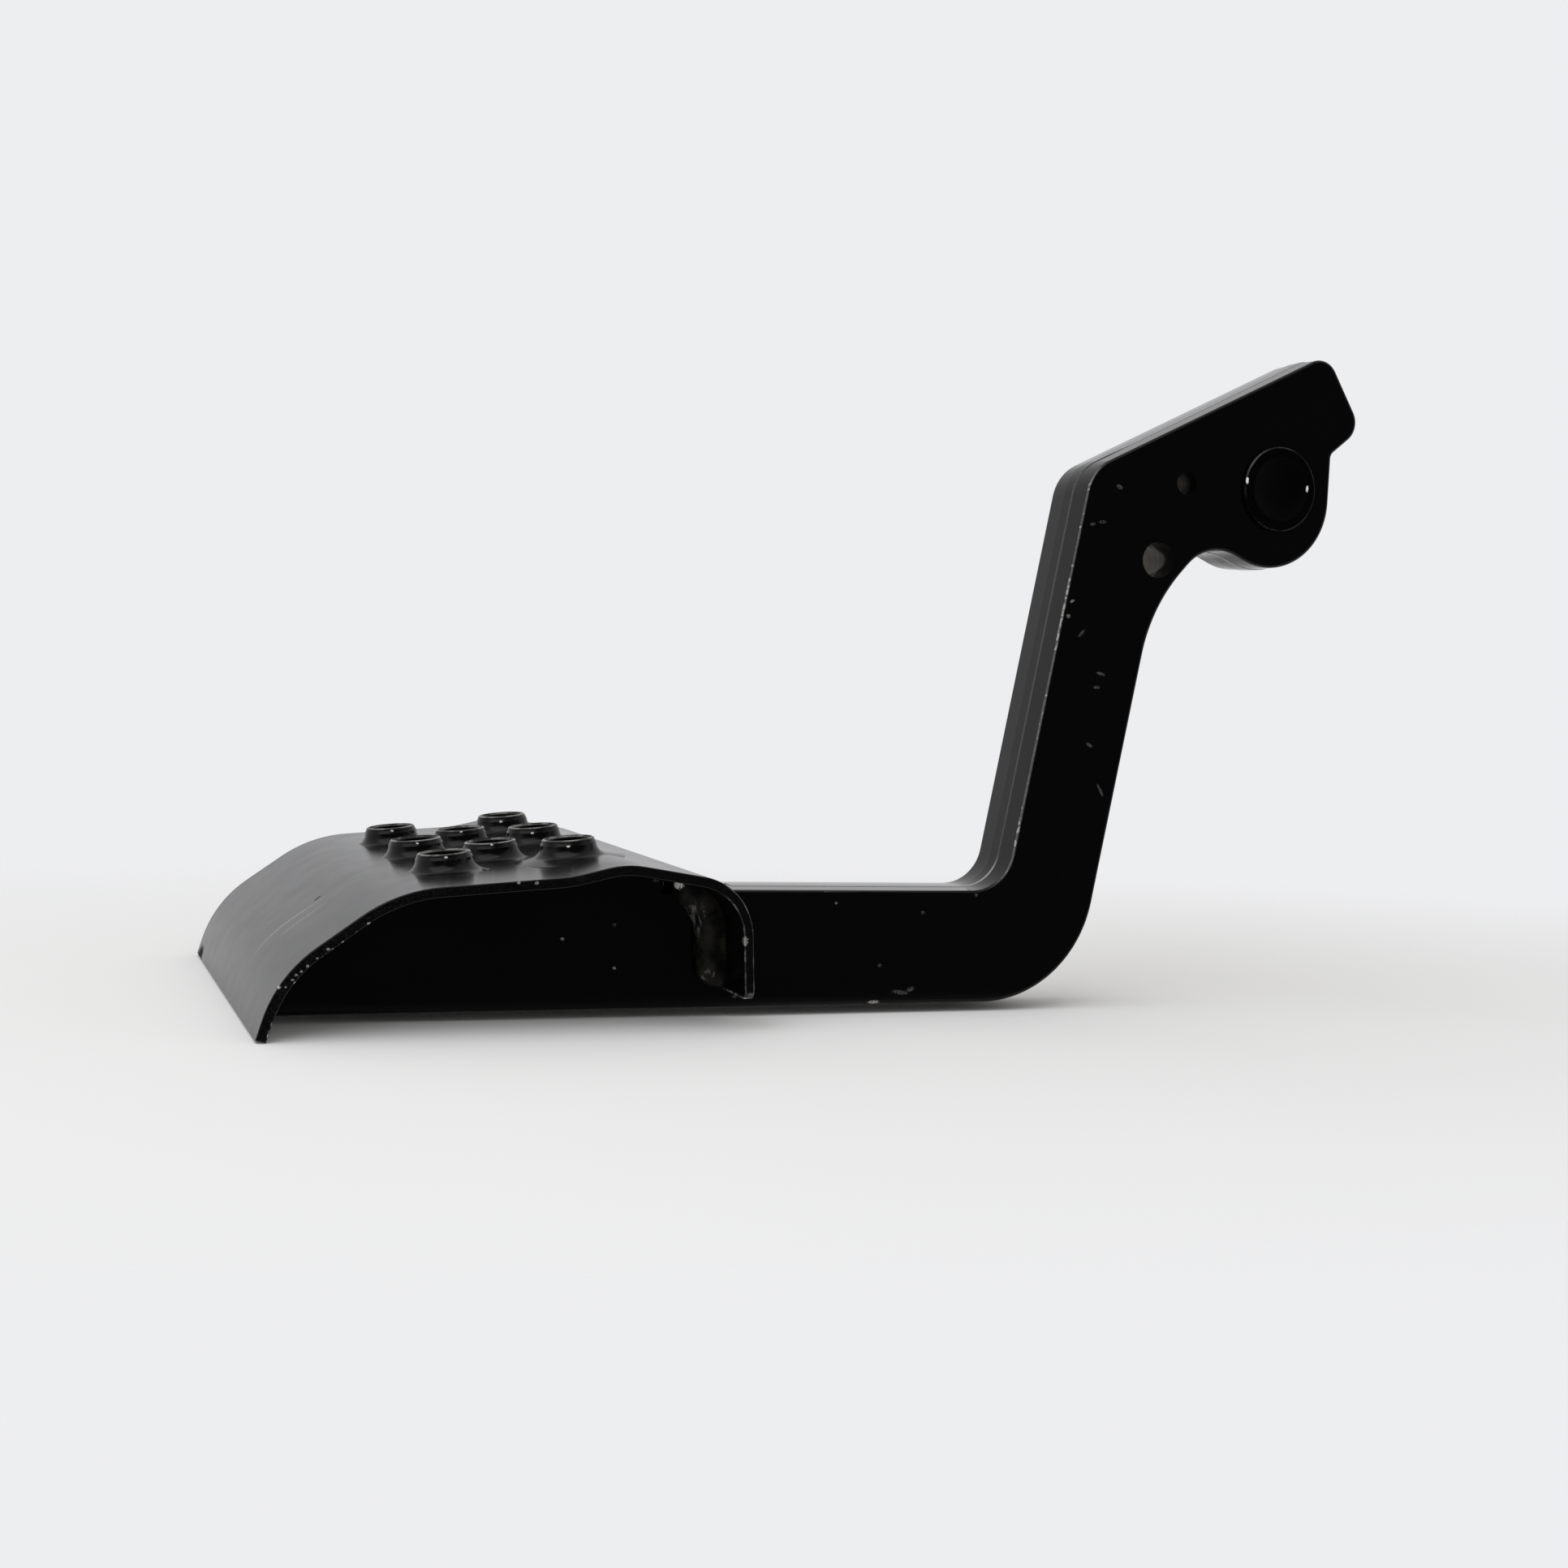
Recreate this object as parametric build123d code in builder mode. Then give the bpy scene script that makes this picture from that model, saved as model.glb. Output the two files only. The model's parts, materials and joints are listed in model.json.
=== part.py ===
from build123d import *
import os
from math import cos, radians, sin, tan

# Rear brake pedal: a forged steel lever, a pressed tread plate welded over its foot end,
# and a plain bush pressed into its pivot eye.
# Frame in millimetres: the origin is the centre of the pivot bore, half way through the lever.
# +X runs from the tread towards the pivot, +Y along the pivot away from the tread's short
# overhang, and +Z is up, with the tread's studs on top.

# Whole pedal: from the pivot's axis to the tip of the tread's lip, and down to the underside
# of the foot bar
pedal_length = 176.6
pivot_height = 91.7

# Lever forging: its outline is given at the parting line, half way through its thickness
lever_thickness = 12.7
draft_angle = 2.0
edge_radius = 0.7
flash_width = 3.0
flash_stand_out = 0.05
foot_bar_depth = 19.6
arm_width = 17.7
arm_angle = 80.35
heel_setback = 36.0
heel_radius = 20.8
crotch_radius = 7.0
knee_radius = 8.0

# Lever head: the eye, the throat below it, the stop tail and the straight top edge
eye_radius = 12.5
eye_setback = 1.05
eye_drop = 1.7
eye_lead_angle = 22.8
throat_radius = 8.5
throat_angle = 49.0
throat_land = 2.0
head_top_angle = 27.2
head_top_offset = 18.1
tail_end_angle = 123.3
tail_reach = 21.6
tail_corner_radius = 4.0
notch_angle = 39.7
notch_offset = 1.9
notch_radius = 1.5

# Pivot bush, and the rod and spring holes through the head
bush_diameter = 15.0
bore_diameter = 11.1
bush_stand_out = 0.9
bush_far_stand_out = 3.0
bush_rim_radius = 0.4
rod_hole_diameter = 6.3
rod_hole_x = -23.9
rod_hole_z = -14.1
spring_hole_diameter = 4.0
spring_hole_x = -19.0
spring_hole_z = -0.4

# Tread plate: runs along X between the corners of its outer surface, the heights of those
# corners above the underside of the foot bar, and the bend at each
sheet = 1.6
tread_width = 84.8
tread_overhang = 12.8
lip_run = 2.7
front_run = 16.9
crown_run = 26.1
rise_run = 8.6
fall_run = 20.5
flange_run = 1.2
lip_height = -0.9
front_height = 8.4
crown_height = 20.7
dip_height = 22.8
hump_height = 24.9
rear_height = 21.7
flange_height = 3.7
front_bend = 20.0
crown_bend = 23.0
dip_bend = 20.0
hump_bend = 15.0
flange_bend = 10.0
flange_corner_radius = 1.5
sheet_edge_radius = 0.3
slot_clearance = 0.3

# Grip studs, pierced and drawn up through the tread plate in staggered rows
stud_rim_diameter = 8.5
stud_neck_diameter = 9.0
stud_bore_diameter = 6.8
stud_height = 2.9
stud_flare_radius = 2.0
stud_skirt_angle = 12.0
stud_skirt = 3.0
stud_lean = 6.3
stud_first_row = 11.1
stud_row_pitch = 10.0
stud_pitch = 22.3

# Weld beads in the corners between the flange and the lever's two faces
weld_leg = 4.2
weld_pitch = 1.7
weld_runs = 9
weld_start = 4.2


def along(angle, length):
    """Step of a given length at an angle above +X."""
    return Vector(cos(radians(angle)) * length, sin(radians(angle)) * length)


def crossing(point_a, angle_a, point_b, angle_b):
    """Point where two lines meet, each given by a point and an angle above +X."""
    step_a = along(angle_a, 1)
    step_b = along(angle_b, 1)
    gap = point_b - point_a
    turn = step_a.X * step_b.Y - step_a.Y * step_b.X
    return point_a + step_a * ((gap.X * step_b.Y - gap.Y * step_b.X) / turn)


def tread_surface(x):
    """Height of the tread plate's outer surface at x, along the straight runs."""
    for front, rear in zip(tread_corners, tread_corners[1:]):
        if front.X <= x <= rear.X:
            return front.Y + (rear.Y - front.Y) * (x - front.X) / (rear.X - front.X)


# Corners of the tread plate's outer surface, from the lip to the foot of the rear flange
foot_z = -pivot_height
lip_tip = Vector(-pedal_length, foot_z + lip_height)
front_corner = Vector(lip_tip.X + lip_run, foot_z + front_height)
crown = Vector(front_corner.X + front_run, foot_z + crown_height)
dip = Vector(crown.X + crown_run, foot_z + dip_height)
hump = Vector(dip.X + rise_run, foot_z + hump_height)
rear_corner = Vector(hump.X + fall_run, foot_z + rear_height)
flange_foot = Vector(rear_corner.X + flange_run, foot_z + flange_height)
tread_corners = [lip_tip, front_corner, crown, dip, hump, rear_corner, flange_foot]
tread_bends = [front_bend, crown_bend, dip_bend, hump_bend, flange_bend]
tread_near_y = -lever_thickness / 2 - tread_overhang
tread_middle_y = tread_near_y + tread_width / 2

# Corners of the lever's outline, from the heel round the head and back to the foot bar
heel = Vector(-heel_setback, foot_z)
arm_front = heel + along(arm_angle + 90, arm_width)
bar_top = Vector(hump.X, foot_z + foot_bar_depth)
crotch = crossing(arm_front, arm_angle, bar_top, 0)
head_top = along(head_top_angle + 90, head_top_offset)
knee = crossing(arm_front, arm_angle, head_top, head_top_angle)
tail_end = along(tail_end_angle - 90, tail_reach)
tail_tip = crossing(head_top, head_top_angle, tail_end, tail_end_angle)
notch = along(notch_angle - 90, notch_offset)
tail_heel = crossing(tail_end, tail_end_angle, notch, notch_angle)
eye_side = Vector(eye_radius - eye_setback, 0)
notch_root = crossing(notch, notch_angle, eye_side, 90)

# The eye runs tangent into the throat, and a wider lead-in eases the throat into the arm
eye_tangent = Vector(-eye_setback, -eye_drop) + along(-90 - eye_lead_angle, eye_radius)
eye_corner = crossing(eye_tangent, -eye_lead_angle, eye_side, 90)
throat_reach = throat_radius * tan(radians(throat_angle + eye_lead_angle) / 2)
throat_roof = eye_tangent + along(180 - eye_lead_angle, throat_reach + throat_land)
throat_lead = crossing(throat_roof, throat_angle, heel, arm_angle)
lead_reach = (throat_roof - throat_lead).length - throat_reach - throat_land
lead_radius = lead_reach / tan(radians(arm_angle - throat_angle) / 2)

lever_corners = [
    (Vector(bar_top.X, foot_z), 0),
    (heel, heel_radius),
    (throat_lead, lead_radius),
    (throat_roof, throat_radius),
    (eye_corner, eye_radius),
    (notch_root, notch_radius),
    (tail_heel, tail_corner_radius),
    (tail_tip, tail_corner_radius),
    (knee, knee_radius),
    (crotch, crotch_radius),
    (bar_top, 0),
]

os.makedirs("parts", exist_ok=True)

# Inner surface of the tread plate, from the lip to the foot of the flange
with BuildLine() as tread_underside:
    FilletPolyline(*tread_corners, radius=tread_bends)
    offset(amount=sheet, side=Side.RIGHT, closed=False)
lip_end = tread_underside.vertices().sort_by(Axis.X)[0]
flange_end = tread_underside.vertices().sort_by(Axis.X)[-1]

# Space below the tread plate, carried down past the foot bar
with BuildSketch(Plane.XZ) as below_tread:
    with BuildLine():
        add(tread_underside.line)
        Polyline(
            lip_end,
            (lip_end.X, 2 * foot_z),
            (flange_end.X, 2 * foot_z),
            flange_end,
        )
    make_face()

# The lever's foot fills that space, from the lip to where the flange starts to bend down
with BuildSketch(Plane.XZ) as lever_foot:
    add(below_tread.sketch)
    foot_length = rear_corner.X - flange_bend - lip_end.X
    with Locations((lip_end.X, foot_z)):
        Rectangle(foot_length, pivot_height, align=Align.MIN, mode=Mode.INTERSECT)

# Outline of the bar, arm and head
with BuildSketch(Plane.XZ) as lever_outline:
    with BuildLine():
        FilletPolyline(
            *[corner for corner, radius in lever_corners],
            radius=[radius for corner, radius in lever_corners],
            close=True,
        )
    make_face()

# Lever: one forging, drafted either side of the parting line, its foot shaped to the tread,
# with the land that the trimmed flash leaves along the parting line, clear of the tread
with BuildPart() as lever:
    with BuildSketch(Plane.XZ):
        add(lever_outline.sketch)
        add(lever_foot.sketch)
    extrude(amount=lever_thickness / 2, both=True, taper=draft_angle)
    faces_by_depth = lever.faces().sort_by(Axis.Y)
    fillet(faces_by_depth[0].edges() + faces_by_depth[-1].edges(), edge_radius)
    with BuildSketch(Plane.XZ):
        add(lever_outline.sketch)
        offset(amount=flash_stand_out)
        with Locations((flange_foot.X + sheet, 0)):
            Rectangle(pedal_length, 4 * pivot_height, align=(Align.MAX, Align.CENTER), mode=Mode.SUBTRACT)
    extrude(amount=flash_width / 2, both=True)
    with BuildSketch(Plane.XZ):
        Circle(bush_diameter / 2)
        with Locations((rod_hole_x, rod_hole_z)):
            Circle(rod_hole_diameter / 2)
        with Locations((spring_hole_x, spring_hole_z)):
            Circle(spring_hole_diameter / 2)
    extrude(amount=lever_thickness, both=True, mode=Mode.SUBTRACT)
lever.part.label = "lever"
export_step(lever.part, "parts/lever.step")

# Pivot bush: a plain sleeve pressed through the eye, standing proud on both sides and further
# out on the far one
with BuildPart() as pivot_bush:
    with BuildSketch(Plane.XZ.offset(lever_thickness / 2 + bush_stand_out)):
        Circle(bush_diameter / 2)
        Circle(bore_diameter / 2, mode=Mode.SUBTRACT)
    extrude(amount=-lever_thickness - bush_stand_out - bush_far_stand_out)
    rims = pivot_bush.edges().filter_by(GeomType.CIRCLE).filter_by(
        lambda edge: edge.radius > bore_diameter / 2 + bush_rim_radius
    )
    fillet(rims, bush_rim_radius)
pivot_bush.part.label = "pivot_bush"
export_step(pivot_bush.part, "parts/pivot_bush.step")

# One grip stud's outside: a rounded rim, a short neck, and a flare that runs out in a skirt,
# which dips into the sheet so that it also meets the sheet where that bends away
rim_round = (stud_rim_diameter - stud_bore_diameter) / 4
rim_z = stud_height - rim_round
with BuildPart() as stud_collar:
    with BuildSketch(Plane.XZ):
        with BuildLine():
            flare = JernArc(
                (stud_neck_diameter / 2, stud_flare_radius),
                (0, -1),
                stud_flare_radius,
                90 - stud_skirt_angle,
            )
            skirt_edge = flare @ 1 + stud_skirt * (flare % 1)
            Polyline(flare @ 1, skirt_edge, (0, skirt_edge.Y), (0, stud_height))
            Line(flare @ 0, (stud_rim_diameter / 2, rim_z))
            RadiusArc(
                (stud_rim_diameter / 2, rim_z),
                (stud_rim_diameter / 2 - rim_round, stud_height),
                -rim_round,
            )
            Line((stud_rim_diameter / 2 - rim_round, stud_height), (0, stud_height))
        make_face()
    revolve(axis=Axis.Z)

# The hole through a stud: rounded over at the rim and at the underside of the sheet
with BuildPart() as stud_bore:
    with BuildSketch(Plane.XZ):
        with BuildLine():
            Polyline(
                (stud_bore_diameter / 2 + rim_round, stud_height),
                (0, stud_height),
                (0, -2 * sheet),
                (stud_bore_diameter / 2 + sheet, -2 * sheet),
                (stud_bore_diameter / 2 + sheet, -sheet),
            )
            RadiusArc(
                (stud_bore_diameter / 2 + sheet, -sheet),
                (stud_bore_diameter / 2, 0),
                -sheet,
            )
            Line((stud_bore_diameter / 2, 0), (stud_bore_diameter / 2, rim_z))
            RadiusArc(
                (stud_bore_diameter / 2, rim_z),
                (stud_bore_diameter / 2 + rim_round, stud_height),
                -rim_round,
            )
        make_face()
    revolve(axis=Axis.Z)

# Stud places: rows of three and two, the middle row set half a pitch across
stud_places = []
for row, across in enumerate(((-1, 0, 1), (-0.5, 0.5), (-1, 0, 1))):
    row_x = crown.X + stud_first_row + row * stud_row_pitch
    for step in across:
        place = (row_x, tread_middle_y + step * stud_pitch, tread_surface(row_x))
        stud_places.append(Location(place, (0, -stud_lean, 0)))

# Tread plate: one pressing of constant section, its flange slotted to straddle the foot bar
with BuildPart() as tread_plate:
    with BuildSketch(Plane.XZ.offset(-tread_near_y)):
        with BuildLine():
            FilletPolyline(*tread_corners, radius=tread_bends)
            offset(amount=sheet, side=Side.RIGHT)
        make_face()
    extrude(amount=-tread_width)
    with BuildSketch(Plane.XY.offset(foot_z)):
        with Locations((flange_foot.X, 0)):
            Rectangle(2 * flange_bend, lever_thickness + 2 * slot_clearance)
    extrude(amount=foot_bar_depth + slot_clearance, mode=Mode.SUBTRACT)
    sheet_edges = tread_plate.edges().filter_by(lambda edge: abs(edge.length - sheet) < 0.01 * sheet)
    fillet(sheet_edges.sort_by(Axis.X)[-4:], flange_corner_radius)
    side_faces = tread_plate.faces().sort_by(Axis.Y)
    fillet(side_faces[0].edges() + side_faces[-1].edges(), sheet_edge_radius)
    with Locations(*stud_places):
        add(stud_collar.part)
        add(stud_bore.part, mode=Mode.SUBTRACT)
tread_plate.part.label = "tread_plate"
export_step(tread_plate.part, "parts/tread_plate.step")

# Flange welds: a rippled bead on each face of the lever, up the inside of the flange
weld_line = tread_underside.wires()[0]
weld_spots = []
for run in range(weld_runs):
    from_flange_foot = weld_start + run * weld_pitch
    spot = weld_line.position_at(weld_line.length - from_flange_foot, position_mode=PositionMode.LENGTH)
    weld_spots.append((spot.X, -lever_thickness / 2, spot.Y))
with BuildPart() as flange_welds:
    with Locations(*weld_spots):
        Sphere(weld_leg)
    near_face = below_tread.sketch.moved(Location((0, -lever_thickness / 2, 0)))
    extrude(near_face, amount=weld_leg, mode=Mode.INTERSECT)
    mirror(about=Plane.XZ)
flange_welds.part.label = "flange_welds"
export_step(flange_welds.part, "parts/flange_welds.step")
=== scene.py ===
import json
from math import radians

import bpy
from mathutils import Matrix, Vector


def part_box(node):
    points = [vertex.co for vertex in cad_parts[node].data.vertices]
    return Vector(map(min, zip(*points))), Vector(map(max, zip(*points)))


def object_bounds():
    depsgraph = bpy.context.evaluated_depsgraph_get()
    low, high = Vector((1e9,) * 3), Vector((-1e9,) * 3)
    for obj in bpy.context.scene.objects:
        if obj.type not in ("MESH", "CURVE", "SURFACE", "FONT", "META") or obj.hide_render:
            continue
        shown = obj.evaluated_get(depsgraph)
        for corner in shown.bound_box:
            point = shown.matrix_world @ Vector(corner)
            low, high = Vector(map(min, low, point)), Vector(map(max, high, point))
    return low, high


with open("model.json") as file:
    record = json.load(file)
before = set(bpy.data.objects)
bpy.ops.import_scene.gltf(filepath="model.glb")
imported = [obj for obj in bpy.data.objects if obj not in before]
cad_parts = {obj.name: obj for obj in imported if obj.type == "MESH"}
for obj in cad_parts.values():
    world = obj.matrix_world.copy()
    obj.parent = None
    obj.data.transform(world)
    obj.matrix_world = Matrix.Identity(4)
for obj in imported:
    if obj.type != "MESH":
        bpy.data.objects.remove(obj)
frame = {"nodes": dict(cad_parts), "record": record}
cad_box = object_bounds()


# Lever: one drop forging in steel, foot bar, arm and pierced head in a single piece.
# Its flash was trimmed off along the middle of the side walls, and it was sprayed gloss black.
# Knocks have since taken specks of paint off its edges and left dull nicks on its face.
# The flash steps are painted lighter all along, as a painted highlight.

mm = 0.001
mounts = {mount["name"]: mount for mount in frame["record"]["mounts"]}
lever_near_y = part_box("lever")[0].y / mm
nick_depth = 1
dull_nick_share = 0.15
bright_nicks = [  # x, z, length, height and tilt on the near face, in millimetres and degrees
    (-40.6, -22.2, 1.0, 0.5, -30),
    (-41.2, -24.8, 0.8, 0.7, 0),
    (-128.5, -80.1, 0.7, 0.5, 0),
    (-119.8, -84.8, 0.6, 0.5, 30),
    (-82.0, -74.4, 0.5, 0.4, 0),
    (-50.2, -67.0, 0.7, 0.5, 40),
    (-74.3, -91.1, 2.2, 0.7, 0),
]
dull_nicks = [
    (-32.5, -2.1, 1.4, 0.8, 20),
    (-35.5, -8.3, 1.8, 0.6, -4),
    (-37.4, -8.8, 1.2, 0.6, -6),
    (-38.4, -27.6, 1.9, 0.6, -45),
    (-34.2, -34.4, 2.0, 0.6, 12),
    (-34.8, -36.8, 1.5, 0.6, 0),
    (-35.7, -46.8, 1.5, 0.6, 25),
    (-33.0, -54.6, 2.6, 0.6, 58),
    (-66.0, -76.0, 0.8, 0.6, 0),
    (-69.5, -89.5, 3.2, 0.8, 8),
    (-67.6, -89.0, 1.6, 0.8, -20),
    (-73.5, -84.9, 0.8, 0.6, 0),
    (-56.1, -73.0, 0.6, 0.6, 0),
    (-120.1, -77.9, 0.7, 0.6, 0),
    (-113.5, -70.7, 1.2, 0.8, 0),
    (-99.2, -89.7, 0.9, 0.5, 0),
]
arm_knocks = [  # z of a knock on the arm's near edge, and how far from there it starts and is full
    (-24, (10, 4)),
    (-61, (5, 2)),
]
flash_half = 1.5
head_highlight_x = (-33, -27)  # where the painted highlight on the flash steps turns from grey to pale, up at the head
foot_highlight_z = (-66, -70)  # and down at the foot bar
hole_walls = [  # a hole through the head, and the y at which its worn wall, painted brown as shade, starts and is full
    ("rod_hole", (-3, 3)),
    ("spring_hole", (-5, 0)),
]
dark_steel = (0.3, 0.29, 0.28, 1)
bright_steel = (0.8, 0.79, 0.77, 1)
# painted highlight colours for the flash steps: grey on the arm, pale at the head and the foot bar
highlight_grey = (0.12, 0.12, 0.125, 1)
highlight_pale = (0.5, 0.5, 0.51, 1)
# painted shade: the brown of shaded ground seen through a hole, laid on the worn deep part of its
# wall
hole_shade_brown = (0.36, 0.3, 0.22, 1)
speck_share = 0.7
paint_film = 0.03  # thickness


def shader_node(tree, kind, inputs, **options):
    """Adds a node, sets its options, and gives each input a value or another node's output."""
    node = tree.nodes.new("ShaderNode" + kind)
    for option, value in options.items():
        setattr(node, option, value)
    for key, value in inputs.items():
        if isinstance(value, bpy.types.NodeSocket):
            tree.links.new(value, node.inputs[key])
        else:
            node.inputs[key].default_value = value
    return node


def vector_calc(tree, operation, *vectors):
    """Arithmetic on vectors. A length or a distance comes out as a single value."""
    node = shader_node(tree, "VectorMath", dict(enumerate(vectors)), operation=operation)
    return node.outputs["Value" if operation in ("LENGTH", "DISTANCE") else "Vector"]


def calc(tree, operation, *values):
    """Arithmetic on single values, taken two at a time from the left."""
    result = values[0]
    for value in values[1:]:
        result = shader_node(tree, "Math", {0: result, 1: value}, operation=operation).outputs[0]
    return result


def product(tree, *values):
    """The values multiplied together."""
    return calc(tree, "MULTIPLY", *values)


def largest(tree, *values):
    """The largest of the values."""
    return calc(tree, "MAXIMUM", *values)


def unsigned(tree, value):
    """A value without its sign."""
    return shader_node(tree, "Math", {0: value}, operation="ABSOLUTE").outputs[0]


def distance(tree, value, target):
    """How far a single value is from target, either way."""
    return unsigned(tree, calc(tree, "SUBTRACT", value, target))


def rise(tree, value, low, high):
    """Goes smoothly from 0 at low to 1 at high, also where low is the larger."""
    sides = {"Value": value, "From Min": low, "From Max": high}
    return shader_node(tree, "MapRange", sides, interpolation_type="SMOOTHSTEP").outputs[0]


def rise_over(tree, value, ends):
    """A rise of a value in metres between two ends in millimetres."""
    low, high = ends
    return rise(tree, value, low * mm, high * mm)


def between(tree, share, low, high):
    """A value that runs from low to high as share runs from 0 to 1."""
    ends = {"Value": share, "To Min": low, "To Max": high}
    return shader_node(tree, "MapRange", ends).outputs[0]


def mottle(tree, place, grain, detail=2.0):
    """Cloudy noise from 0 to 1 with lumps of about the size of grain."""
    noise = shader_node(tree, "TexNoise", {"Vector": place, "Scale": 1 / grain, "Detail": detail})
    return noise.outputs["Fac"]


def mixed_colour(tree, share, first, second):
    """A colour that goes from first to second as share goes from 0 to 1."""
    mix = shader_node(tree, "Mix", {0: share, 6: first, 7: second}, data_type="RGBA")
    return mix.outputs[2]


def seen_from(tree, place, centre, turn, unit):
    """The place measured from a centre along turned axes, with a unit of length for each axis."""
    inputs = {
        "Vector": place,
        "Location": [part * mm for part in centre],
        "Rotation": [radians(part) for part in turn],
        "Scale": [part * mm for part in unit],
    }
    return shader_node(tree, "Mapping", inputs, vector_type="TEXTURE").outputs[0]


def marks(tree, place, spots, ragged=0.9):
    """1 inside any of the spots, each a centre, a size and a turn, with ragged edges."""
    reaches = []
    for centre, size, turn in spots:
        local = seen_from(tree, place, centre, turn, [part / 2 for part in size])
        reaches.append(vector_calc(tree, "LENGTH", local))
    rough_edge = between(tree, mottle(tree, place, 0.3 * mm, 3.0), -ragged, ragged)
    nearest = calc(tree, "MINIMUM", *reaches)
    return rise(tree, calc(tree, "ADD", nearest, rough_edge), 1.1, 0.7)


def face_nicks(tree, place, nicks):
    """1 inside any of the nicks, which lie on the lever's near face."""
    spots = []
    for x, z, length, height, tilt in nicks:
        spots.append(((x, lever_near_y, z), (length, nick_depth, height), (0, tilt, 0)))
    return marks(tree, place, spots)


def flaked(tree, region, *terms):
    """Specks of bare steel in a region, with more of them where the terms add up to more."""
    return product(tree, region, rise(tree, calc(tree, "ADD", *terms), 0.57, 0.64), speck_share)


def edge_wear(tree, place, spot, normal):
    """Specks along the rounded edges, and the arm's near edge rubbed and knocked."""
    lean = unsigned(tree, normal["Y"])
    on_edge = product(tree, rise(tree, lean, 0.2, 0.45), rise(tree, lean, 0.99, 0.9))
    to_tread = rise(tree, normal["X"], -0.45, -0.7)
    near_edge = product(tree, to_tread, rise(tree, normal["Y"], 0.0, -0.3))
    knocks = []
    for middle, ends in arm_knocks:
        knocks.append(rise_over(tree, distance(tree, spot["Z"], middle * mm), ends))
    knocked = product(tree, near_edge, largest(tree, *knocks))
    specks = flaked(
        tree,
        on_edge,
        mottle(tree, place, 0.8 * mm, 4.0),
        between(tree, near_edge, -0.18, -0.06),
        between(tree, knocked, 0.0, 0.19),
    )
    worn = between(tree, mottle(tree, place, 2 * mm, 3.0), 0.1, 0.3)
    return largest(tree, specks, product(tree, on_edge, near_edge, worn))


def flash_step_highlight(tree, place, spot, normal):
    """Painted highlight: a broken line along the far step of the trimmed flash, a thin one along the
    near.
    """
    on_wall = rise(tree, unsigned(tree, normal["Y"]), 0.4, 0.2)
    far_step = rise_over(tree, distance(tree, spot["Y"], flash_half * mm), (0.3, 0.1))
    near_step = rise_over(tree, distance(tree, spot["Y"], -flash_half * mm), (0.2, 0.1))
    broken = between(tree, mottle(tree, place, 4 * mm, 3.0), 0.0, 0.25)
    return largest(tree, product(tree, far_step, on_wall, broken), near_step)


def in_bore(tree, place, mount_name):
    """1 on the wall of a bore along y that the record lists as a mount."""
    mount = mounts[mount_name]
    radius = mount["dims"]["r_mm"]
    flat = vector_calc(tree, "MULTIPLY", place, (1, 0, 1))
    reach = vector_calc(tree, "DISTANCE", flat, mount["pos_m"])
    return rise_over(tree, reach, (radius + 0.15, radius + 0.05))


def lever_wear(tree, place, spot, normal):
    """Nicks on the near face, worn edges, a painted highlight on the flash steps, and worn hole walls
    in painted brown shade.
    """
    bright = face_nicks(tree, place, bright_nicks)
    dim = product(tree, face_nicks(tree, place, dull_nicks), dull_nick_share)
    flecks = rise(tree, mottle(tree, place, 0.3 * mm), 0.36, 0.56)
    nicked = product(tree, largest(tree, bright, dim), flecks)
    bare = largest(tree, nicked, edge_wear(tree, place, spot, normal))

    walls = []
    for hole, ends in hole_walls:
        walls.append(product(tree, in_bore(tree, place, hole), rise_over(tree, spot["Y"], ends)))
    holes = largest(tree, *walls)
    # Worn paint deep in each hole, coloured brown as painted shade of the ground seen through it.
    worn_and_shaded_wall = product(tree, holes, between(tree, mottle(tree, place, 2 * mm, 3.0), 0.3, 1.0))
    dull = largest(tree, worn_and_shaded_wall, flash_step_highlight(tree, place, spot, normal))

    # The painted highlight on the flash steps is pale up at the head and down on the foot bar, grey
    # between.
    on_head = rise_over(tree, spot["X"], head_highlight_x)
    on_foot = rise_over(tree, spot["Z"], foot_highlight_z)
    highlight_colour = mixed_colour(tree, largest(tree, on_head, on_foot), highlight_grey, highlight_pale)
    return bare, dull, mixed_colour(tree, holes, highlight_colour, hole_shade_brown)


def empty_tree(holder):
    """Turns on the nodes of a material or a surround, and clears them."""
    holder.use_nodes = True
    holder.node_tree.nodes.clear()
    return holder.node_tree


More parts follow.
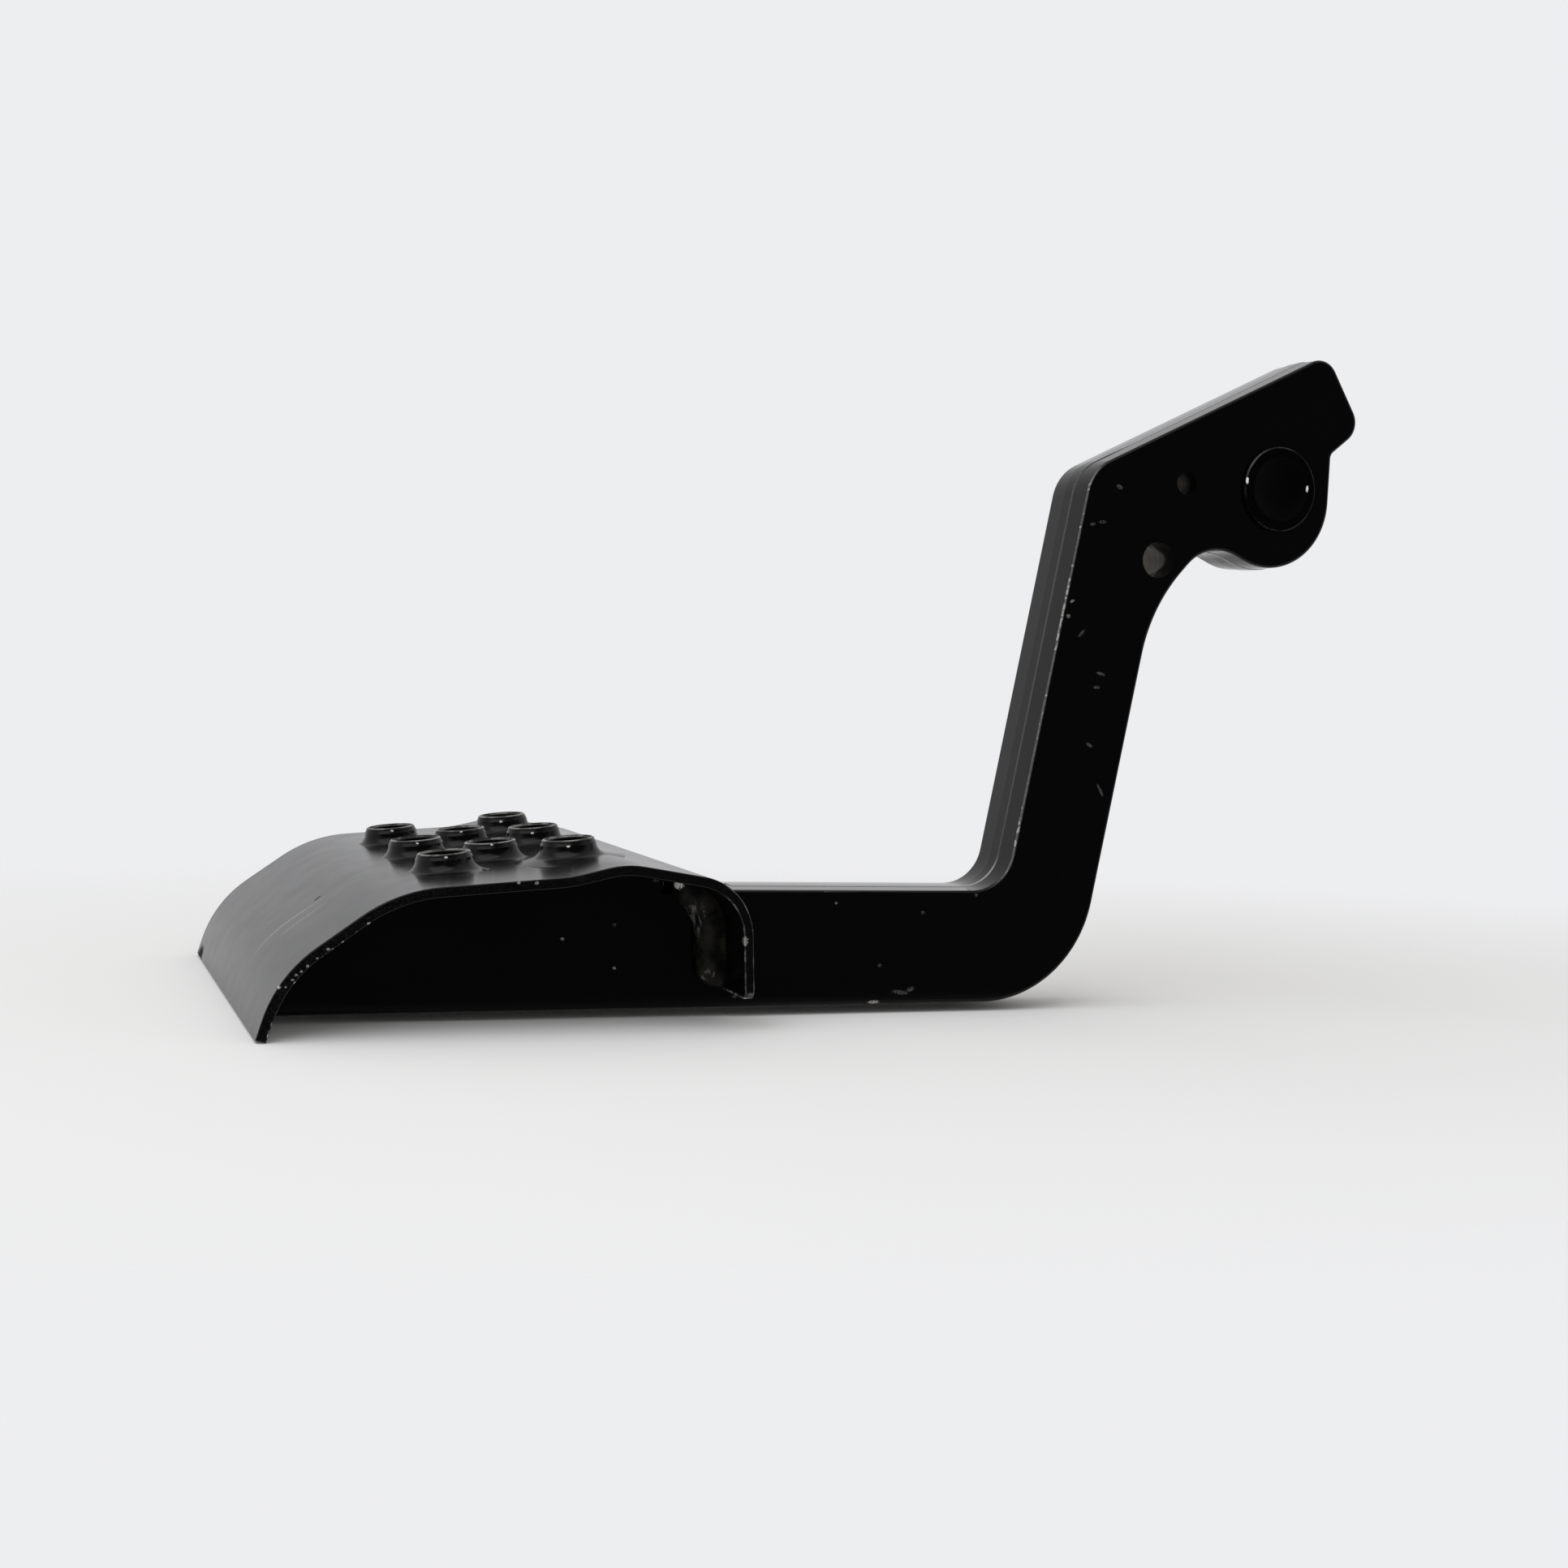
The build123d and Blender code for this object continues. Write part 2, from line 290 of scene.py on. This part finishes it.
def black_paint(name, find_wear, black, gloss, peel, refraction):
    """Black paint over steel. find_wear gives the share of bare steel at each place, the share of
    dull grime, rubbed paint, painted highlight and painted shade, and the colour of that. Gloss is
    the least and the most roughness, and peel the height of the fine ripple that a sprayed skin has."""
    material = bpy.data.materials.new(name)
    tree = empty_tree(material)
    coordinates = shader_node(tree, "TexCoord", {}).outputs
    place = coordinates["Object"]
    spot = shader_node(tree, "SeparateXYZ", {0: place}).outputs
    normal = shader_node(tree, "SeparateXYZ", {0: coordinates["Normal"]}).outputs
    bare, dull, dull_colour = find_wear(tree, place, spot, normal)

    thin = (*(1.5 * part for part in black), 1)
    thick = (*(0.6 * part for part in black), 1)
    paint = mixed_colour(tree, mottle(tree, place, 9 * mm, 4.0), thin, thick)
    steel = mixed_colour(tree, mottle(tree, place, 0.5 * mm, 3.0), dark_steel, bright_steel)
    chipped = mixed_colour(tree, bare, paint, steel)
    colour = mixed_colour(tree, dull, chipped, dull_colour)

    sheen = between(tree, mottle(tree, place, 5 * mm, 5.0), *gloss)
    bare_roughness = product(tree, bare, 0.22)
    dull_roughness = product(tree, dull, 0.6)

    skin = product(tree, mottle(tree, place, 1.3 * mm, 1.0), peel)
    waves = product(tree, mottle(tree, place, 11 * mm, 1.0), 6 * peel)
    film = product(tree, bare, -paint_film * mm)
    height = calc(tree, "ADD", skin, waves, film)
    bump = shader_node(tree, "Bump", {"Height": height, "Distance": 1.0})

    finish = {
        "Base Color": colour,
        "Metallic": product(tree, bare, calc(tree, "SUBTRACT", 1.0, dull)),
        "Roughness": calc(tree, "ADD", sheen, bare_roughness, dull_roughness),
        "IOR": refraction,
        "Normal": bump.outputs[0],
    }
    shader = shader_node(tree, "BsdfPrincipled", finish)
    shader_node(tree, "OutputMaterial", {"Surface": shader.outputs[0]})
    return material


def dress(node_name, material):
    """Gives a CAD node its finish."""
    for slot in frame["nodes"][node_name].material_slots:
        slot.material = material


forging_paint = black_paint(
    "forging_paint",
    lever_wear,
    black=(0.0012, 0.0012, 0.0013),
    gloss=(0.06, 0.13),
    peel=0.002 * mm,
    refraction=1.25,
)
dress("lever", forging_paint)


# Tread plate: a sheet-steel pressing with a turned-down lip and a slotted flange at the back.
# Its grip studs are pierced and drawn up out of the sheet, and it is sprayed with the lever.
# Edges and stud rims have lost specks of paint, and a boot has scuffed the front slope.
# The pale spot on the near side of each stud's rim is a painted highlight.

tread_near_y, tread_far_y = [corner.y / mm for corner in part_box("tread_plate")]
tread_middle_y = (tread_near_y + tread_far_y) / 2
front_slope_x = (-148, -158)  # where each of these starts and is full
flange_x = (-107, -104)
flange_foot_z = (-87.5, -88)
slope_middle_z = -80
slope_reach_z = 60
scuff_share = 0.27
hair_share = 0.03
slope_scuffs = [  # x, y, length, width and turn seen from above, in millimetres and degrees
    (-168.6, 9.8, 12.0, 0.9, -3),
    (-167.0, 4.6, 8.0, 0.6, 2),
]
slope_nicks = [
    (-163.8, 11.5, 1.2, 0.7, 20),
    (-176.6, 61.0, 1.2, 7.0, 0),
    (-140.6, -3.3, 1.0, 1.6, 0),
]
chip_depth = 2
chip_share = 0.8
edge_chips = [  # x, z, length and height on the near cut edge
    (-173.6, -84.9, 0.6, 0.5),
    (-172.6, -84.9, 0.4, 0.3),
    (-171.7, -83.9, 0.4, 0.3),
    (-171.2, -83.2, 0.5, 0.4),
    (-170.5, -82.7, 0.4, 0.4),
    (-169.6, -81.9, 0.5, 0.4),
    (-168.3, -80.8, 0.3, 0.3),
    (-166.8, -79.5, 0.6, 0.4),
    (-161.1, -75.8, 0.6, 0.4),
    (-139.2, -69.8, 0.6, 0.4),
    (-136.4, -69.8, 0.7, 0.5),
    (-102.7, -78.8, 0.9, 1.4),
]
stud_lean = 6.3
stud_pitch = 22.3
stud_rim_radius = 4.25
stud_rim_middle = 3.83
stud_glint_size = (0.6, 0.6, 0.4)
stud_rows = [  # x and z of a row's rims, its studs in pitches from the middle, and how far along and down from there the painted highlight sits on the near side of each rim
    # and down from there the near side of each rim is rubbed through
    (-146.22, -67.22, (-1, 0, 1), -0.5, 0.5),
    (-136.22, -66.42, (-0.5, 0.5), -0.7, 0.3),
    (-126.22, -64.80, (-1, 0, 1), -1.1, 1.0),
]
torn_black = (0.03, 0.03, 0.03, 1)
nick_black = (0.003, 0.003, 0.003, 1)
stud_glint_pale = (0.6, 0.6, 0.59, 1)
no_turn = (0, 0, 0)

studs = []
stud_glint_spots = []
for row_x, rim_z, steps, along, down in stud_rows:
    for step in steps:
        stud_y = tread_middle_y + step * stud_pitch
        studs.append((row_x, stud_y, rim_z))
        near_side = (row_x + along, stud_y - stud_rim_radius, rim_z - down)
        stud_glint_spots.append((near_side, stud_glint_size, no_turn))


def rim_tops(tree, place):
    """1 along the top of every stud's rim."""
    gaps = []
    for centre in studs:
        local = seen_from(tree, place, centre, (0, -stud_lean, 0), (1, 1, 1))
        above = shader_node(tree, "SeparateXYZ", {0: local}).outputs["Z"]
        reach = vector_calc(tree, "LENGTH", vector_calc(tree, "MULTIPLY", local, (1, 1, 0)))
        aside = calc(tree, "SUBTRACT", reach, stud_rim_middle)
        section = shader_node(tree, "CombineXYZ", {"X": aside, "Z": above}).outputs[0]
        gaps.append(vector_calc(tree, "LENGTH", section))
    return rise(tree, calc(tree, "MINIMUM", *gaps), 0.45, 0.15)


def sheared_edges(tree, place, spot, normal):
    """Bare steel along the sheared edges of the sheet, and torn paint on the cut faces."""
    lean = unsigned(tree, normal["Y"])
    from_near = calc(tree, "SUBTRACT", spot["Y"], tread_near_y * mm)
    from_far = calc(tree, "SUBTRACT", tread_far_y * mm, spot["Y"])
    at_side = rise_over(tree, calc(tree, "MINIMUM", from_near, from_far), (0.4, 0.25))
    corner = product(tree, at_side, rise(tree, lean, 0.995, 0.9), rise(tree, lean, 0.15, 0.4))
    at_front = rise_over(tree, spot["X"], front_slope_x)
    below_front = product(tree, at_front, rise(tree, normal["Z"], 0.1, -0.1))
    specks = flaked(
        tree,
        corner,
        mottle(tree, place, 0.9 * mm, 4.0),
        between(tree, below_front, -0.14, 0.0),
        between(tree, mottle(tree, place, 7 * mm, 2.0), -0.1, 0.1),
    )

    spots = []
    for x, z, length, height in edge_chips:
        spots.append(((x, tread_near_y, z), (length, chip_depth, height), no_turn))
    chips = product(tree, marks(tree, place, spots), chip_share)

    at_flange = rise_over(tree, spot["X"], flange_x)
    at_foot = rise_over(tree, spot["Z"], flange_foot_z)
    flange_edge = largest(tree, product(tree, corner, 0.35), product(tree, at_foot, 1.3))
    patches = rise(tree, mottle(tree, place, 1.5 * mm, 3.0), 0.42, 0.62)
    rubbed = product(tree, at_flange, flange_edge, between(tree, patches, 0.06, 0.6))

    pits = rise(tree, mottle(tree, place, 0.4 * mm, 4.0), 0.45, 0.7)
    torn = product(tree, pits, between(tree, at_front, 0.1, 0.25))
    cut_face = product(tree, at_side, rise(tree, lean, 0.9, 0.99), torn)
    return largest(tree, specks, chips, rubbed), cut_face


def slope_marks(tree, place, rows):
    """1 inside any of the marks, which are given as seen from above."""
    spots = []
    for x, y, length, width, turn in rows:
        spots.append(((x, y, slope_middle_z), (length, width, slope_reach_z), (0, 0, turn)))
    return marks(tree, place, spots, ragged=0.6)


def tread_wear(tree, place, spot, normal):
    """Worn edges and stud rims, faint scuffs and hair lines, dark nicks, and painted rim highlights.
    """
    worn_edges, cut_face = sheared_edges(tree, place, spot, normal)
    scuffs = product(tree, slope_marks(tree, place, slope_scuffs), scuff_share)
    nicks = slope_marks(tree, place, slope_nicks)
    grain = vector_calc(tree, "MULTIPLY", place, (0.02, 1, 0.02))
    hairs = product(tree, rise(tree, mottle(tree, grain, 0.25 * mm, 2.0), 0.64, 0.74), hair_share)
    patches = rise(tree, mottle(tree, place, 2.5 * mm, 3.0), 0.42, 0.6)
    worn_rims = product(tree, rim_tops(tree, place), between(tree, patches, 0.06, 0.45))
    bare = largest(tree, worn_edges, scuffs, hairs, worn_rims)

    # Painted highlights: a pale spot on the near side of each stud's rim.
    painted_stud_glints = marks(tree, place, stud_glint_spots)
    dull = largest(tree, nicks, cut_face, painted_stud_glints)
    dark_colour = mixed_colour(tree, nicks, torn_black, nick_black)
    return bare, dull, mixed_colour(tree, painted_stud_glints, dark_colour, stud_glint_pale)


pressing_paint = black_paint(
    "pressing_paint",
    tread_wear,
    black=(0.0016, 0.0016, 0.0017),
    gloss=(0.16, 0.26),
    peel=0.002 * mm,
    refraction=1.25,
)
dress("tread_plate", pressing_paint)


# Pivot bush: a plain steel sleeve pressed into the lever's eye before painting.
# Its rim is rubbed by the parts beside it, and its bore is bare, dark and greasy.
# The two bright places on its rim are painted highlights.

rim_glints = [  # centre, size and turn of each painted highlight, in millimetres and degrees
    ((-7.1, -7.2, 1.0), (0.5, 0.8, 1.5), no_turn),
    ((5.7, -7.2, 0.5), (0.5, 0.8, 1.3), no_turn),
]
rim_line_share = 0.12
grease_black = (0.001, 0.001, 0.0009, 1)
bush_glint_white = (0.85, 0.85, 0.84, 1)


def bush_wear(tree, place, spot, normal):
    """Two painted highlights and a thin rubbed line on the rim, and grease in the bore."""
    lean = unsigned(tree, normal["Y"])
    on_rim = product(tree, rise(tree, lean, 0.2, 0.4), rise(tree, lean, 0.98, 0.85))
    patches = rise(tree, mottle(tree, place, 4 * mm, 4.0), 0.4, 0.7)
    rubbed = product(tree, on_rim, patches, rim_line_share)
    glints = marks(tree, place, rim_glints, ragged=0.5)
    dull = largest(tree, in_bore(tree, place, "pivot_bore"), glints)
    return rubbed, dull, mixed_colour(tree, glints, grease_black, bush_glint_white)


bush_paint = black_paint(
    "bush_paint",
    bush_wear,
    black=(0.0012, 0.0012, 0.0012),
    gloss=(0.16, 0.24),
    peel=0.002 * mm,
    refraction=1.12,
)
dress("pivot_bush", bush_paint)


# Flange welds: a bead of weld metal up each side of the lever, inside the tread's flange.
# Painted over with the rest, and scraped dull in upright strokes on its crest.

weld_scrapes = [  # centre, size and turn, in millimetres and degrees
    ((-108.0, -9.0, -78.0), (4.0, 6.0, 8.0), (0, 8, 0)),
    ((-105.0, -9.0, -85.7), (1.6, 6.0, 2.2), (0, 30, 0)),
]
weld_spatter = [((-110.4, -8.2, -71.1), (1.8, 2.4, 1.9), (0, 20, 0))]
scrape_share = 0.27
dirt_share = 0.25
weld_dirt = (0.06, 0.056, 0.04, 1)


def weld_wear(tree, place, spot, normal):
    """Upright strokes in the scraped places, a bright bit of spatter, brown dirt in the ripples."""
    upright = vector_calc(tree, "MULTIPLY", place, (1, 1, 0.2))
    strokes = rise(tree, mottle(tree, upright, 0.8 * mm, 3.0), 0.45, 0.62)
    scraped = product(tree, strokes, marks(tree, place, weld_scrapes, ragged=0.5), scrape_share)
    spatter = marks(tree, place, weld_spatter)
    dirt = product(tree, rise(tree, mottle(tree, place, 3 * mm, 3.0), 0.4, 0.7), dirt_share)
    dull = largest(tree, dirt, spatter)
    return scraped, dull, mixed_colour(tree, spatter, weld_dirt, bright_steel)


weld_paint = black_paint(
    "weld_paint",
    weld_wear,
    black=(0.0022, 0.0022, 0.002),
    gloss=(0.3, 0.42),
    peel=0.006 * mm,
    refraction=1.2,
)
dress("flange_welds", weld_paint)


# Floor and surround: a plain pale studio floor, level with the lowest edge of the tread's lip.
# It fades out into an even pale surround, and the room in front of it is dark.

pedal_middle = (Vector(cad_box[0]) + Vector(cad_box[1])) / 2
floor_radius = 0.6
floor_oval = (0.6, 1, 1)
floor_fade = (0.05, 0.22)
floor_front_y = (-0.03, -0.05)
floor_grey = (0.87, 0.88, 0.9, 1)
floor_white = (0.9, 0.91, 0.93, 1)
surround_pale = (0.85, 0.853, 0.868, 1)
surround_light = (0.6, 0.585, 0.56, 1)
room_dark = (0.09, 0.09, 0.09, 1)

bpy.ops.mesh.primitive_circle_add(
    vertices=96,
    radius=floor_radius,
    fill_type="NGON",
    location=(pedal_middle.x, pedal_middle.y, cad_box[0][2]),
)
floor = bpy.context.object
floor.name = "studio_floor"
pale_floor = bpy.data.materials.new("pale_floor")
floor_tree = empty_tree(pale_floor)
floor_rays = shader_node(floor_tree, "LightPath", {}).outputs
floor_place = shader_node(floor_tree, "TexCoord", {}).outputs["Object"]
floor_y = shader_node(floor_tree, "SeparateXYZ", {0: floor_place}).outputs["Y"]
floor_squashed = vector_calc(floor_tree, "MULTIPLY", floor_place, floor_oval)
floor_reach = vector_calc(floor_tree, "LENGTH", floor_squashed)
in_front = product(floor_tree, floor_rays["Is Glossy Ray"], rise(floor_tree, floor_y, *floor_front_y))
fade = largest(floor_tree, rise(floor_tree, floor_reach, *floor_fade), in_front)
floor_cloud = mottle(floor_tree, floor_place, 60 * mm, 3.0)
floor_colour = mixed_colour(floor_tree, floor_cloud, floor_grey, floor_white)
floor_paint = shader_node(floor_tree, "BsdfDiffuse", {"Color": floor_colour}).outputs[0]
clear = shader_node(floor_tree, "BsdfTransparent", {}).outputs[0]
floor_mix = shader_node(floor_tree, "MixShader", {0: fade, 1: floor_paint, 2: clear})
shader_node(floor_tree, "OutputMaterial", {"Surface": floor_mix.outputs[0]})
floor.data.materials.append(pale_floor)

studio = bpy.data.worlds.new("studio")
bpy.context.scene.world = studio
sky = empty_tree(studio)
rays = shader_node(sky, "LightPath", {}).outputs
heading = shader_node(sky, "TexCoord", {}).outputs["Generated"]
heading_y = shader_node(sky, "SeparateXYZ", {0: heading}).outputs["Y"]
mirrored = mixed_colour(sky, rise(sky, heading_y, -0.3, -0.7), surround_pale, room_dark)
lit = mixed_colour(sky, rays["Is Glossy Ray"], surround_light, mirrored)
seen = largest(sky, rays["Is Camera Ray"], rays["Is Transmission Ray"])
surround_colour = mixed_colour(sky, seen, lit, surround_pale)
surround = shader_node(sky, "Background", {"Color": surround_colour, "Strength": 1.0})
shader_node(sky, "OutputWorld", {"Surface": surround.outputs[0]})


# Studio light: one broad square lamp, high over the pedal, in front of it and to its left.
# The pale surround gives the rest of the light.

lamp_place = Vector((-0.45, -0.25, 0.75))
lamp_data = bpy.data.lights.new("soft_key", "AREA")
lamp_data.shape = "SQUARE"
lamp_data.size = 0.9
lamp_data.energy = 4.2
lamp = bpy.data.objects.new("soft_key", lamp_data)
lamp.location = lamp_place
lamp.rotation_euler = (pedal_middle - lamp_place).to_track_quat("-Z", "Y").to_euler()
bpy.context.scene.collection.objects.link(lamp)


# Camera: level with the pedal, in front of its near face and to its left, rolled a little.
# Its place, angles and focal length were fitted to the photo.

camera_place = Vector((-0.2132, -0.3064, -0.0365))
camera_turn = 21.945
camera_dip = 3.252
camera_roll = 2.723
photo_width = 1932
focal_pixels = 2450
camera_data = bpy.data.cameras.new("photo_camera")
camera_data.sensor_width = 36
camera_data.lens = camera_data.sensor_width * focal_pixels / photo_width
camera_data.clip_start = 0.01
camera = bpy.data.objects.new("photo_camera", camera_data)
turn = Matrix.Rotation(radians(-camera_turn), 4, "Z")
tip = Matrix.Rotation(radians(90 - camera_dip), 4, "X")
roll = Matrix.Rotation(radians(camera_roll), 4, "Z")
camera.matrix_world = Matrix.Translation(camera_place) @ turn @ tip @ roll
bpy.context.scene.collection.objects.link(camera)
bpy.context.scene.camera = camera
bpy.context.scene.view_settings.view_transform = "Standard"
